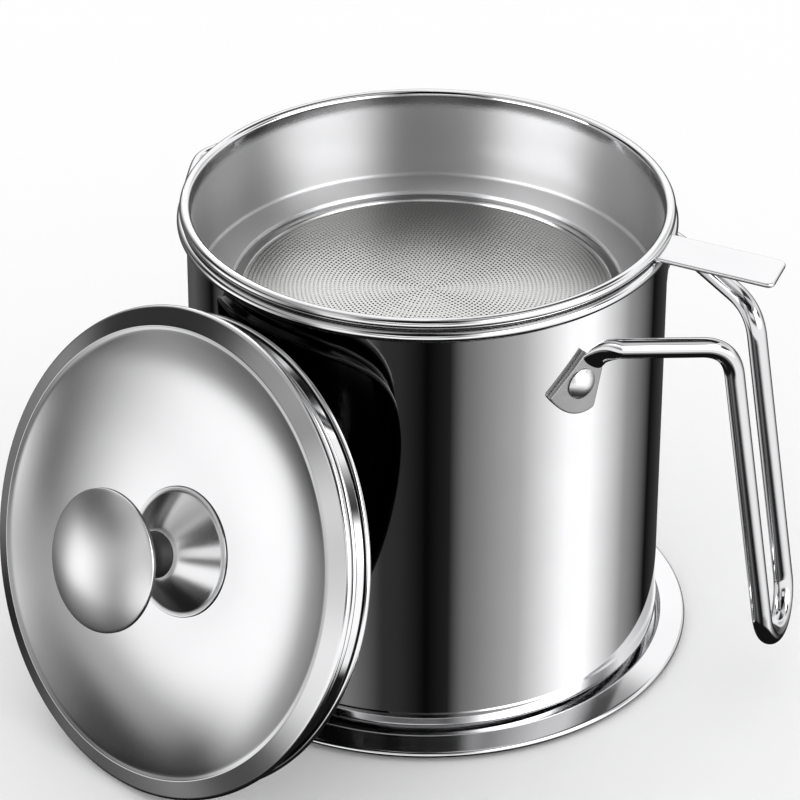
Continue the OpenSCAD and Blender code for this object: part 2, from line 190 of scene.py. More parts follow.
def lattice(points, wrap_rows, poles):
    """A mesh over rows of points, each row a closed ring. A row marked in poles is one point."""
    rows, cols = points.shape[:2]
    steps = rows if wrap_rows else rows - 1
    i, j = (v.ravel() for v in np.meshgrid(np.arange(steps), np.arange(cols), indexing="ij"))
    k, m = (i + 1) % rows, (j + 1) % cols
    index = np.arange(rows * cols).reshape(rows, cols)
    index = np.where(np.asarray(poles)[:, None], index[:, :1], index)
    faces = np.stack([index[i, j], index[i, m], index[k, m], index[k, j]], 1)
    keep, faces = np.unique(faces, return_inverse=True)
    return points.reshape(-1, 3)[keep], faces.reshape(-1, 4)


def piece(name, points, faces, body, *nodes, sharp=38):
    """A mesh from points in mm and faces, turned to face outward, smooth but for sharp edges. It
    rides on a body, and stands for nodes."""
    points = np.asarray(points, float) * MM
    a, b, c, d = (points[faces[:, n]] for n in range(4))
    volume = sum(np.einsum("ij,ij->", a, np.cross(p, q)) for p, q in ((b, c), (c, d)))
    if volume < 0:
        faces = faces[:, ::-1]
    rows = [tuple(dict.fromkeys(f)) for f in faces.tolist()]
    mesh = bpy.data.meshes.new(name)
    mesh.from_pydata(points.tolist(), [], [f for f in rows if len(f) > 2])
    mesh.polygons.foreach_set("use_smooth", np.ones(len(mesh.polygons), bool))
    mesh.set_sharp_from_angle(angle=math.radians(sharp))
    mesh.update()
    made = bpy.data.objects.new(name, mesh)
    bpy.context.collection.objects.link(made)
    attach(made, body)
    if nodes:
        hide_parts(*nodes)
    return made


def turned(outline, sides=300):
    """A closed outline of (radius, height) turned about Z: at angle a the point is
    (radius cos a, radius sin a, height). Points on the axis become one pole."""
    outline = np.asarray(outline, float)
    a = circle(sides)
    r, z = outline[:, :1], outline[:, 1:]
    points = np.stack([r * np.cos(a), r * np.sin(a), z + 0 * a], -1)
    return lattice(points, True, on_axis(outline))


def place_of_lid():
    """Turn and place of the lid's own frame where the lid leans."""
    reach = POT_R + LEAN_GAP + SKIRT_H * math.cos(LEAN) + SKIRT_R * math.sin(LEAN) + SKIRT_EDGE_R
    rise = FLOOR_GAP + max(EDGE_C * math.cos(LEAN) + EDGE_R,
                           SKIRT_H * math.sin(LEAN) + SKIRT_R * math.cos(LEAN) + SKIRT_EDGE_R)
    return np.array(Matrix.Rotation(LEAN_AT, 4, "Z") @ Matrix.Translation((reach, 0, rise))
                    @ Matrix.Rotation(math.pi / 2 - LEAN, 4, "Y"))


LID_PLACE = place_of_lid()
LID_CENTRE, LID_AXIS = tuple(LID_PLACE[:3, 3] * MM), tuple(LID_PLACE[:3, 2])


def leaning(outline, sides=300):
    """An outline turned about the lid's axis, where the lid leans."""
    points, faces = turned(outline, sides)
    return points @ LID_PLACE[:3, :3].T + LID_PLACE[:3, 3], faces


def plate(outline, t, edge):
    """A flat plate over a closed outline, as points (u, v, height): rings that grow from the
    middle of the underside to the outline, go round an edge of radius edge, and shrink to the
    middle of the top."""
    middle = outline.mean(0)
    side = left_of(outline, True)
    if ((middle - outline) * side).sum() < 0:
        side = -side
    turn = np.radians(np.linspace(-90, 0, 5))
    lower = [(outline + side * edge * (1 - math.cos(a)), edge + edge * math.sin(a)) for a in turn]
    flat = [(middle + (lower[0][0] - middle) * share, 0) for share in (0, 0.35, 0.7, 0.94)]
    half = flat + lower
    rings = half + [(p, t - h) for p, h in half[::-1]]
    points = np.stack([np.column_stack([p, np.full(len(p), h)]) for p, h in rings])
    return points, [k in (0, len(rings) - 1) for k in range(len(rings))]


# ---------------------------------------------------------------- tray and pot
def tray_surface():
    """Floor, wall of the recess, crest, sloping flange and rolled edge."""
    recess_r = POT_R + CAP_T + TRAY_GAP
    bend_c = (recess_r - TRAY_BEND_R, TRAY_T + TRAY_BEND_R)
    crest_c = (recess_r + CREST_BEND_R, CREST_Z - CREST_BEND_R)
    path = np.concatenate([[[0, TRAY_T]],
                           arc(bend_c, TRAY_BEND_R, -90, 0, 8),
                           arc(crest_c, CREST_BEND_R, 180, 100, 10),
                           arc(TRAY_EDGE_C, TRAY_EDGE_R, 80, -100, 24)])
    return turned(sheet(path, TRAY_T))


def base_cap_surface():
    """Thin cup under the pot."""
    path = np.concatenate([[[0, CORE_Z], [CAP_FOOT_R, CORE_Z]],
                           arc((POT_R - CAP_BEND_R, CAP_BEND_Z), CAP_BEND_R, -45, 0, 8),
                           [[POT_R, CAP_TOP_Z]]])
    return turned(sheet(path, CAP_T))


def pot_surface(sides=720):
    """The pot's outline turned about Z. From the foot of the spout to the rim the level's curve is
    the pot's circle and its two tangents from a point that moves out in front of it: at angle a
    from the spout the curve's radius is R / cos(max(0, b - a)) with cos b = R / (R + reach), and a
    is rounded off near the nose. The outline's distance from the wall is measured square to that
    curve."""
    bend_c = (POT_R - FLOOR_BEND_R, FLOOR_Z + FLOOR_BEND_R)
    wall_z = np.linspace(RIM_Z - SPOUT_H - 1, RIM_Z - 0.4, 40)
    path = np.concatenate([[[0, FLOOR_Z + WALL_T]],
                           arc(bend_c, FLOOR_BEND_R - WALL_T, -90, 0, 10),
                           [[BORE_R, z] for z in wall_z],
                           rolled(RIM_C, RIM_Z, RIM_R, 159)])
    outline = sheet(path, WALL_T)
    radius, height = outline[:, :1], outline[:, 1:]
    a = circle(sides)
    turn = (a - SPOUT_AT + np.pi) % (2 * np.pi) - np.pi
    level = np.clip((height - RIM_Z + SPOUT_H) / SPOUT_H, 0, 1)
    reach = SPOUT_OUT * level ** 1.2
    wide = np.arccos(POT_R / (POT_R + reach))
    nose = np.sqrt(turn ** 2 + SPOUT_NOSE ** 2)
    curve = POT_R / np.cos(np.maximum(0, wide - nose + SPOUT_NOSE * 0.6))
    curve = np.where(level > 0, curve, POT_R)
    x, y = curve * np.cos(a), curve * np.sin(a)
    along_x, along_y = (np.roll(v, -1, 1) - np.roll(v, 1, 1) for v in (x, y))
    size = np.hypot(along_x, along_y)
    is_wall = height > 20
    off = np.where(is_wall, radius - POT_R, 0)
    scale = np.where(is_wall, 1, radius / POT_R)
    points = np.stack([x * scale + off * along_y / size, y * scale - off * along_x / size,
                       height + 0 * a], -1)
    return lattice(points, True, on_axis(outline))


# ---------------------------------------------------------------- handle
def by_lug(u, v, r):
    """Point u mm towards the grip and v mm up from the front rivet, at radius r."""
    a = u / POT_R - RIVET_AT
    return np.stack([r * np.cos(a), r * np.sin(a), RIVET_Z + v], -1)


def rod_line(root_steps, bend_steps):
    """Centre line of the whole rod: root in the front lug, root bend, run, upper bend, grip, half
    of the low turn, and then the mirror image of all that, backwards."""
    half_gap = ROD_GAP / 2
    down = BEND_Z - LOW_Z - half_gap
    start = by_lug(*ROOT_START, POT_R + LUG_GAP + LUG_T / 2)
    bend = by_lug(*ROOT_BEND, POT_R + ROD_R + 0.5)
    upper = np.array([BEND_X, -half_gap, BEND_Z])
    grip = np.array([BEND_X + down * math.tan(GRIP_LEAN), -half_gap, LOW_Z + half_gap])
    a = np.radians(np.linspace(0, 90, 19))[:, None]
    sag = np.hstack([np.sin(a) * math.tan(GRIP_LEAN), 1 - np.cos(a), -np.sin(a)])
    turn = grip + half_gap * sag
    first = corner(start, bend, upper, ROOT_BEND_LEN, bend_steps)
    second = corner(bend, upper, grip, UPPER_BEND_LEN, 22)
    root = start + (first[0] - start) * np.linspace(0, 1, root_steps + 1)[:, None]
    between = np.linspace(0.02, 0.98, 8)[:, None]
    runs = [p + (q - p) * between for p, q in ((first[-1], second[0]), (second[-1], turn[0]))]
    line = np.concatenate([root[:-1], first, runs[0], second, runs[1], turn])
    return np.concatenate([line, (line * [1, -1, 1])[-2::-1]])


def rod_surface(sides=40, root_steps=5, bend_steps=18):
    """A rod swept along the handle's centre line. Each ring is an ellipse square to the line with
    its thin side turned to the pot's axis: a flat strip at both ends that grows into the round
    rod."""
    line = rod_line(root_steps, bend_steps)
    n = len(line)
    from_end = np.minimum(np.arange(n), np.arange(n)[::-1])
    grow = np.interp(from_end, [0, root_steps, root_steps + bend_steps], [0, 0.1, 1])[:, None]
    width = ROOT_W + (2 * ROD_R - ROOT_W) * grow
    thick = ROOT_T + (2 * ROD_R - ROOT_T) * grow ** 1.2
    ahead = unit(np.gradient(line, axis=0))
    out = unit(line * [1, 1, 0])
    thin = unit(out - (out * ahead).sum(1)[:, None] * ahead)
    across = np.cross(ahead, thin)
    a = circle(sides)[None, :, None]
    ring = line[:, None] + 0.5 * (thin[:, None] * np.cos(a) * thick[:, None]
                                  + across[:, None] * np.sin(a) * width[:, None])
    ends = [np.repeat(line[k, None, None], sides, 1) for k in (0, -1)]
    points = np.concatenate([ends[0], ring, ends[1]])
    return lattice(points, False, [k in (0, n + 1) for k in range(n + 2)])


def lug_surface(side):
    """The flat lug round a rivet: a plate over its outline, bent to the wall."""
    low = bent(*LUG_END, np.linspace(0, 1, 17))
    right, top = LUG_NECK
    outline = np.concatenate([corner(top, low[0], low[2], 0.9, 4), low[2:-2],
                              corner(low[-3], low[-1], right, 0.9, 4), LUG_NECK])
    outline = dense(outline, 1.2)
    back = dense(np.stack([outline[-1], outline[0]]), 1.2)[1:-1]
    points, poles = plate(np.concatenate([outline, back]), LUG_T, LUG_EDGE_R)
    spot = by_lug(points[..., 0], points[..., 1], POT_R + LUG_GAP + points[..., 2])
    return lattice(spot * [1, side, 1], False, poles)


def rivet_surface(side):
    """A rivet turned about its own axis: tail inside the wall, shank, and a head with a dome that
    is a cap of a ball of radius (r^2 + h^2) / 2h."""
    tail = -WALL_T - TAIL_GAP
    head = LUG_GAP + LUG_T + RIVET_CLEAR
    ball = (HEAD_R ** 2 + HEAD_H ** 2) / (2 * HEAD_H)
    half_angle = math.degrees(math.asin(HEAD_R / ball))
    top = head + HEAD_RIM_H + HEAD_H
    outline = np.concatenate([
        [[0, tail - TAIL_H], [TAIL_R - 0.3, tail - TAIL_H], [TAIL_R, tail - 0.3], [TAIL_R, tail],
         [RIVET_R, tail], [RIVET_R, head], [HEAD_R - 0.15, head], [HEAD_R, head + 0.15]],
        arc((0, top - ball), ball, 90 - half_angle, 90, 24)])
    points, faces = turned(outline, 96)
    a = -side * RIVET_AT
    out = np.array([math.cos(a), math.sin(a), 0])
    along, up = np.array([-math.sin(a), math.cos(a), 0]), np.array([0, 0, 1])
    u, v, h = points[:, :1], points[:, 1:2], points[:, 2:]
    return u * along + v * up + (POT_R + h) * out + RIVET_Z * up, faces


def rivet_surfaces():
    """Both rivets as one mesh."""
    (front, front_faces), (back, back_faces) = (rivet_surface(side) for side in (1, -1))
    return np.concatenate([front, back]), np.concatenate([front_faces, back_faces + len(front)])


# ---------------------------------------------------------------- strainer
def basket_surface():
    """Hem under the filter, step, ledge, wall and rolled rim."""
    low, step_r, bend_r = BASKET_R - BASKET_TAPER, 0.5, 1
    path = np.concatenate([[[LEDGE_R - HEM_W, FILTER_Z]],
                           arc((LEDGE_R - step_r, FILTER_Z + step_r), step_r, -90, 0, 8),
                           arc((LEDGE_R + step_r, LEDGE_Z - step_r), step_r, 180, 90, 8),
                           arc((low - bend_r, LEDGE_Z + bend_r), bend_r, -90, 0, 10),
                           rolled(BASKET_RIM_C, BASKET_Z, BASKET_RIM_R)])
    return turned(sheet(path, BASKET_T), 360)


def tab_surface():
    """The thumb tab: a plate whose root follows the strainer's rim, with rounded corners and
    edges. It falls evenly from the rim to its tip."""
    half, r = TAB_W / 2, TAB_CORNER_R
    across = np.linspace(-half, half, 15)
    root = np.stack([np.sqrt((BASKET_RIM_C + 1) ** 2 - across ** 2), across], 1)
    corners = [arc((TAB_REACH - r, half - r), r, 90, 0, 8),
               arc((TAB_REACH - r, r - half), r, 0, -90, 8)]
    outline = dense(np.concatenate([root, *corners, root[:1]]), 2.5)[:-1]
    points, poles = plate(outline, TAB_T, TAB_EDGE_R)
    fall = (points[..., 0] - BASKET_RIM_C) * TAB_DROP / (TAB_REACH - BASKET_RIM_C)
    points[..., 2] += BASKET_Z - 0.3 - TAB_T - fall
    return lattice(points, False, poles)


# ---------------------------------------------------------------- lid
def lid_surface():
    """Flat middle, dish whose height grows as a power of the distance from the flat, ridge,
    sloping brim and rolled edge."""
    share = np.linspace(0, 1, 60)[1:]
    dish = np.stack([FLAT_R + (RIDGE_R - 1.2 - FLAT_R) * share,
                     DISH_Z + DISH_RISE * share ** DISH_POWER], 1)
    ridge = arc((RIDGE_R - 0.1, RIDGE_H - 0.35), 0.3, 115, 68, 5)
    edge = arc((EDGE_C, 0), EDGE_R, 67, CURL_END, 30)
    path = np.concatenate([[[HOLE_R, DISH_Z], [FLAT_R, DISH_Z]], dish, ridge, edge])
    return leaning(sheet(path, LID_T), 360)


def skirt_surface():
    """Ring under the lid with a bead half way down and a rolled end."""
    wall = SKIRT_R - LID_T
    path = np.concatenate([[[wall, RIDGE_H - LID_T - 1.05]],
                           arc((wall, -SKIRT_H / 2), SKIRT_EDGE_R, 90, -90, 16),
                           arc((SKIRT_R, -SKIRT_H), SKIRT_EDGE_R, 100, -180, 30)])
    return leaning(sheet(path, LID_T), 360)


# ---------------------------------------------------------------- knob
def knob_foot_surface():
    """Flange and bell, with the recess that the stem's end stands in."""
    share = np.linspace(0, 1, 40)
    flange_z = DISH_Z + FOOT_T
    bell = np.stack([NECK_R + 0.4 + (FOOT_R - 2 - NECK_R) * (1 - share) ** 0.85,
                     flange_z + 0.3 + (FOOT_H - 2) * share], 1)
    outline = np.concatenate([
        arc((FOOT_R - FOOT_ROUND, flange_z - FOOT_ROUND), FOOT_ROUND, 0, 90, 4),
        [[FOOT_R - 1.2, flange_z]], bell,
        [[NECK_R - 0.6, FOOT_TOP_Z - 0.7], [NECK_R - 0.6, FOOT_TOP_Z],
         [HOLE_R, FOOT_TOP_Z], [HOLE_R, DISH_Z], [FOOT_R, DISH_Z]]])
    return leaning(outline)


def knob_stem_surface():
    """Stem whose radius grows as a power of the height, up to the cap, with the screw's bore from
    below."""
    share = np.linspace(0, 1, 40)
    bore, top = SCREW_R + THREAD_CLEAR, FLARE_Z + 0.8
    flare = np.stack([NECK_R + (CAP_R - 2 - NECK_R) * share ** 2.2,
                      FOOT_TOP_Z + 3 + (FLARE_Z - FOOT_TOP_Z - 3) * share], 1)
    outline = np.concatenate([
        [[bore, FOOT_TOP_Z], [NECK_R - 0.2, FOOT_TOP_Z], [NECK_R, FOOT_TOP_Z + 0.2]], flare,
        [[CAP_R - 2, top], [0, top], [0, FLARE_Z - 1], [bore, FLARE_Z - 1]]])
    return leaning(outline)


def knob_cap_surface():
    """Shallow cap of a ball with a rounded edge, hollow from below."""
    ball = (CAP_R ** 2 + CROWN_H ** 2) / (2 * CROWN_H)
    half_angle = math.degrees(math.asin(CAP_R / ball))
    centre = (0, CAP_Z + CROWN_H - ball)
    lip = CAP_R - 1.4
    outline = np.concatenate([
        arc(centre, ball, 90, 90 - half_angle + 0.8, 50),
        arc((CAP_R - CAP_ROUND, CAP_Z - 0.25), CAP_ROUND, 60, 0, 5),
        [[CAP_R, CAP_Z - 1.0], [CAP_R - 0.2, CAP_Z - 1.2], [lip, CAP_Z - 1.2], [lip, CAP_Z - 0.1]],
        arc(centre, ball - CAP_SHEET_T, 90 - half_angle + 2, 90, 30)])
    return leaning(dense(outline, 9))


# ---------------------------------------------------------------- pieces
# Name, surface and body, then the node that it stands for. The lugs belong to the handle_rod node
PIECES = (
    ("tray_surface", tray_surface(), "tray", "drip_tray"),
    ("base_cap_surface", base_cap_surface(), "pot", "base_cap"),
    ("pot_surface", pot_surface(), "pot", "pot_body"),
    ("rod_surface", rod_surface(), "pot", "handle_rod"),
    ("lug_front", lug_surface(1), "pot"),
    ("lug_back", lug_surface(-1), "pot"),
    ("rivet_surfaces", rivet_surfaces(), "pot", "handle_rivets"),
    ("basket_surface", basket_surface(), "strainer", "strainer_basket"),
    ("tab_surface", tab_surface(), "strainer", "strainer_tab"),
    ("lid_surface", lid_surface(), "lid", "lid_shell"),
    ("skirt_surface", skirt_surface(), "lid", "lid_skirt"),
    ("knob_foot_surface", knob_foot_surface(), "lid", "knob_foot"),
    ("knob_stem_surface", knob_stem_surface(), "lid", "knob_stem"),
    ("knob_cap_surface", knob_cap_surface(), "lid", "knob_cap"))
surfaces = {}
for name, shape, body, *nodes in PIECES:
    surfaces[nodes[0] if nodes else name] = piece(name, *shape, body, *nodes)


# ---------------------------------------------------------------- nodes
def new_material(name):
    """An empty material with one principled shader."""
    mat = bpy.data.materials.new(name)
    mat.use_nodes = True
    tree = mat.node_tree
    tree.nodes.clear()
    out = tree.nodes.new("ShaderNodeOutputMaterial")
    shader = tree.nodes.new("ShaderNodeBsdfPrincipled")
    tree.links.new(shader.outputs[0], out.inputs["Surface"])
    return mat, tree, shader


def put(tree, socket, v):
    """Link v to the socket if v is a socket too, and else set it as the value."""
    if hasattr(v, "is_linked"):
        tree.links.new(v, socket)
    else:
        socket.default_value = v


def calc(tree, op, *values, kind="ShaderNodeMath"):
    """A maths node. Returns its result."""
    m = tree.nodes.new(kind)
    m.operation = op
    for socket, v in zip(m.inputs, values):
        put(tree, socket, v)
    return next(s for s in m.outputs if s.enabled)


def vector(tree, op, *values):
    """A vector maths node. Returns its result."""
    return calc(tree, op, *values, kind="ShaderNodeVectorMath")


def root_of_squares(tree, a, b):
    """The root of a^2 + b^2."""
    squares = [calc(tree, "MULTIPLY", v, v) for v in (a, b)]
    return calc(tree, "SQRT", calc(tree, "ADD", *squares))


def spread(tree, value, a, b, to_a, to_b):
    """A value mapped smoothly from a-b to to_a-to_b."""
    m = tree.nodes.new("ShaderNodeMapRange")
    m.interpolation_type = "SMOOTHSTEP"
    for socket, v in (("From Min", a), ("From Max", b), ("To Min", to_a), ("To Max", to_b)):
        m.inputs[socket].default_value = v
    tree.links.new(value, m.inputs["Value"])
    return m.outputs[0]


def mixed(tree, factor, a, b):
    """Colour between a and b."""
    m = tree.nodes.new("ShaderNodeMix")
    m.data_type = "RGBA"
    for socket, v in (("Factor", factor), ("A", a), ("B", b)):
        put(tree, m.inputs[socket], v)
    return m.outputs["Result"]


def grey(v):
    """A neutral colour."""
    return v, v, v, 1


def axes(tree, coords):
    """The three parts of a coordinate."""
    split = tree.nodes.new("ShaderNodeSeparateXYZ")
    tree.links.new(coords, split.inputs[0])
    return split.outputs


def object_coords(tree):
    """The tree's one object coordinate."""
    node = tree.nodes.get("Texture Coordinate") or tree.nodes.new("ShaderNodeTexCoord")
    return node.outputs["Object"]


# ---------------------------------------------------------------- steel
def polish_group():
    """Shared effect: faint uneven polish. Gives a roughness, a tint factor and a bumped normal."""
    g = bpy.data.node_groups.new("Polish", "ShaderNodeTree")
    for name, kind, value in (("Vector", "Vector", None), ("Base Roughness", "Float", 0.06),
                              ("Unevenness", "Float", 0.03), ("Bump Height", "Float", 0.02)):
        item = g.interface.new_socket(name, in_out="INPUT", socket_type="NodeSocket" + kind)
        if value is not None:
            item.default_value = value
    for name, kind in (("Roughness", "Float"), ("Tint", "Float"), ("Normal", "Vector")):
        g.interface.new_socket(name, in_out="OUTPUT", socket_type="NodeSocket" + kind)
    given = g.nodes.new("NodeGroupInput").outputs
    result = g.nodes.new("NodeGroupOutput").inputs
    link = g.links.new
    broad, fine = g.nodes.new("ShaderNodeTexNoise"), g.nodes.new("ShaderNodeTexNoise")
    for tex, scale, detail in ((broad, 45, 3), (fine, 900, 2)):
        tex.inputs["Scale"].default_value = scale
        tex.inputs["Detail"].default_value = detail
        link(given["Vector"], tex.inputs["Vector"])
    bump = g.nodes.new("ShaderNodeBump")
    bump.inputs["Distance"].default_value = 0.1 * MM
    link(given["Bump Height"], bump.inputs["Strength"])
    link(fine.outputs["Fac"], bump.inputs["Height"])
    uneven = calc(g, "MULTIPLY_ADD", broad.outputs["Fac"], given["Unevenness"],
                  given["Base Roughness"])
    link(uneven, result["Roughness"])
    link(broad.outputs["Fac"], result["Tint"])
    link(bump.outputs["Normal"], result["Normal"])
    return g


POLISH = polish_group()


def steel(name, dark, light, roughness, unevenness, bump, rough_by=None, shade_in_mirrors=None):
    """Bare metal. rough_by, if given, makes the roughness in the tree. The last argument, if
    given,
    is painted shade: the grey that the metal shows where the rest of the object mirrors it."""
    mat, tree, shader = new_material(name)
    link = tree.links.new
    polish = tree.nodes.new("ShaderNodeGroup")
    polish.node_tree = POLISH
    polish.inputs["Base Roughness"].default_value = roughness
    polish.inputs["Unevenness"].default_value = unevenness
    polish.inputs["Bump Height"].default_value = bump
    if rough_by:
        link(rough_by(tree), polish.inputs["Base Roughness"])
    link(object_coords(tree), polish.inputs["Vector"])
    tint = mixed(tree, polish.outputs["Tint"], (*dark, 1), (*light, 1))
    # Painted shade: where the rest of the object mirrors this metal, it shows the given grey
    if shade_in_mirrors:
        rays = tree.nodes.new("ShaderNodeLightPath")
        tint = mixed(tree, rays.outputs["Is Glossy Ray"], tint, grey(shade_in_mirrors))
    link(tint, shader.inputs["Base Color"])
    link(polish.outputs["Roughness"], shader.inputs["Roughness"])
    link(polish.outputs["Normal"], shader.inputs["Normal"])
    shader.inputs["Metallic"].default_value = 1
    return mat, tree, shader


def by_height(tree):
    """Satin inside the basket, polished at its rim."""
    low, high = (BASKET_Z - 4) * MM, (BASKET_Z - 0.3) * MM
    return spread(tree, axes(tree, object_coords(tree))[2], low, high, 0.42, 0.05)


def from_lid_axis(tree):
    """Distance from the lid's axis."""
    arm = vector(tree, "SUBTRACT", object_coords(tree), LID_CENTRE)
    return vector(tree, "LENGTH", vector(tree, "CROSS_PRODUCT", arm, LID_AXIS))


def by_dish(tree):
    """Satin in the dish, smoother at the ridge and the brim."""
    near, far = (RIDGE_R - 4.3) * MM, (RIDGE_R - 0.3) * MM
    return spread(tree, from_lid_axis(tree), near, far, 0.17, 0.13)


def turned_finish(tree, shader, centre, axis, amount):
    """Fine circular polishing round an axis, which stretches the highlights across the circles."""
    arm = vector(tree, "SUBTRACT", object_coords(tree), centre)
    along = vector(tree, "NORMALIZE", vector(tree, "CROSS_PRODUCT", axis, arm))
    tree.links.new(along, shader.inputs["Tangent"])
    shader.inputs["Anisotropic"].default_value = amount
    shader.inputs["Anisotropic Rotation"].default_value = 0.25


def ring_cuts(tree, shader):
    """Fine rings cut round the lid's axis."""
    rings = tree.nodes.new("ShaderNodeTexNoise")
    rings.noise_dimensions = "1D"
    rings.inputs["Scale"].default_value = 5000
    rings.inputs["Detail"].default_value = 2
    tree.links.new(from_lid_axis(tree), rings.inputs["W"])
    cut = tree.nodes.new("ShaderNodeBump")
    cut.inputs["Distance"].default_value = 0.03 * MM
    cut.inputs["Strength"].default_value = 0.5
    tree.links.new(rings.outputs["Fac"], cut.inputs["Height"])
    tree.links.new(shader.inputs["Normal"].links[0].from_socket, cut.inputs["Normal"])
    tree.links.new(cut.outputs["Normal"], shader.inputs["Normal"])


def hole_pattern(tree, pitch, hole, edge):
    """Mask of small round holes in rings: ring k lies k pitches from the middle and has about
    2 pi k holes, every second ring turned by half a hole. 1 in a hole, 0 on the metal."""
    x, y = axes(tree, object_coords(tree))[:2]
    r = root_of_squares(tree, x, y)
    k = calc(tree, "ROUND", calc(tree, "DIVIDE", r, pitch))
    off = calc(tree, "SUBTRACT", calc(tree, "DIVIDE", r, pitch), k)
    count = calc(tree, "ROUND", calc(tree, "MULTIPLY", k, 2 * math.pi))
    share = calc(tree, "DIVIDE", calc(tree, "ARCTAN2", y, x), 2 * math.pi)
    shift = calc(tree, "MULTIPLY", calc(tree, "MODULO", k, 2), 0.5)
    step = calc(tree, "MULTIPLY_ADD", share, count, shift)
    along = calc(tree, "SUBTRACT", step, calc(tree, "ROUND", step))
    size = root_of_squares(tree, off, along)
    in_hole = spread(tree, size, hole + 0.05, hole - 0.05, 0, 1)
    in_disc = spread(tree, r, edge, edge - 0.2 * MM, 0, 1)
    return calc(tree, "MULTIPLY", in_hole, in_disc)


def punch(tree, shader, mask):
    """The metal is cut away where the mask is 1."""
    gap = tree.nodes.new("ShaderNodeBsdfTransparent")
    blend = tree.nodes.new("ShaderNodeMixShader")
    tree.links.new(mask, blend.inputs["Fac"])
    tree.links.new(shader.outputs[0], blend.inputs[1])
    tree.links.new(gap.outputs[0], blend.inputs[2])
    tree.links.new(blend.outputs[0], tree.nodes["Material Output"].inputs["Surface"])


# ---------------------------------------------------------------- materials
# Tints, roughness, its unevenness, bump, what makes the roughness, and painted shade in mirrors
bright, pale = (0.74, 0.74, 0.75), (0.82, 0.82, 0.83)
mirror = steel("Mirror steel", bright, pale, 0.03, 0.03, 0.0)[0]
# Painted shade: skirt and lid show near black where the rest of the object mirrors them, for the
# shade behind the lid
skirt = steel("Skirt steel", bright, pale, 0.06, 0.03, 0.0, shade_in_mirrors=0.01)[0]
lid = steel("Lid steel", bright, pale, 0.2, 0.04, 0.02, by_dish, 0.01)[0]
tray = steel("Tray steel", bright, pale, 0.09, 0.04, 0.0)[0]
soft = steel("Softly polished steel", bright, pale, 0.2, 0.05, 0.02)[0]
rod = steel("Rod steel", (0.62, 0.62, 0.63), (0.70, 0.70, 0.71), 0.05, 0.03, 0.0)[0]
lug = steel("Lug steel", (0.30, 0.30, 0.30), (0.52, 0.52, 0.52), 0.3, 0.1, 0.3)[0]
rivet = steel("Rivet steel", pale, (0.88, 0.88, 0.88), 0.34, 0.05, 0.02)[0]
cap = steel("Knob cap steel", (0.86, 0.86, 0.87), (0.92, 0.92, 0.93), 0.3, 0.05, 0.02)[0]
neck = steel("Knob stem steel", (0.7, 0.7, 0.71), (0.8, 0.8, 0.81), 0.38, 0.05, 0.02)[0]
core = steel("Aluminium", (0.68, 0.69, 0.71), (0.76, 0.77, 0.79), 0.3, 0.1, 0.1)[0]

# Painted shade: where the rest of the object mirrors the basket, it shows grey 0.3
basket, tree, shader = steel("Basket steel", bright, pale, 0.2, 0.04, 0.02, by_height, 0.3)
turned_finish(tree, shader, (0, 0, 0), (0, 0, 1), 0.9)

foot, tree, shader = steel("Turned steel", bright, pale, 0.2, 0.06, 0.03)
turned_finish(tree, shader, LID_CENTRE, LID_AXIS, 0.75)
ring_cuts(tree, shader)

# Painted shade: where the rest of the object mirrors the filter, it shows grey 0.2
filter_steel, tree, shader = steel("Filter steel", (0.66, 0.66, 0.65), (0.74, 0.74, 0.73),
                                   0.26, 0.08, 0.03, shade_in_mirrors=0.2)
punch(tree, shader, hole_pattern(tree, HOLE_PITCH * MM, HOLE_SHARE, HOLES_R * MM))

skin = {"drip_tray": tray, "base_core": core, "handle_rod": rod, "handle_rivets": rivet,
        "lug_front": lug, "lug_back": lug, "strainer_basket": basket,
        "strainer_mesh": filter_steel, "strainer_tab": soft, "lid_shell": lid, "lid_skirt": skirt,
        "knob_foot": foot, "knob_stem": neck, "knob_cap": cap}
for node, shown in {**frame["nodes"], **surfaces}.items():
    shown.data.materials.clear()
    shown.data.materials.append(skin.get(node, mirror))
# The photo's steel shows no image of the knob or the handle
for shown in (surfaces["knob_foot"], surfaces["knob_stem"], surfaces["knob_cap"],
              frame["nodes"]["knob_screw"], surfaces["handle_rod"]):
    shown.visible_glossy = False

# ---------------------------------------------------------------- floor and soft box
bpy.ops.mesh.primitive_plane_add(size=6)
floor = bpy.context.object
floor.name = "studio_floor"
floor.visible_glossy = False
mat, tree, shader = new_material("Studio floor")
shader.inputs["Base Color"].default_value = grey(1)
shader.inputs["Roughness"].default_value = 0.9
shader.inputs["Specular IOR Level"].default_value = 0
floor.data.materials.append(mat)

# A small soft box over the mouth that only shows in mirrors, for the strainer's inside. In metres
BOX_AT, BOX_SIZE, BOX_GLOW = (-0.049, -0.016, 0.152), (0.06, 0.04, 1), 6.5
bpy.ops.mesh.primitive_plane_add(size=1, location=BOX_AT,
                                 rotation=(math.radians(70), 0, math.radians(-42)))
box = bpy.context.object
box.name = "soft_box"
box.scale = BOX_SIZE
box.visible_camera = box.visible_diffuse = box.visible_shadow = box.visible_transmission = False
mat, tree, shader = new_material("Soft box")
shader.inputs["Base Color"].default_value = grey(0)
shader.inputs["Emission Color"].default_value = grey(1)
shader.inputs["Emission Strength"].default_value = BOX_GLOW
box.data.materials.append(mat)

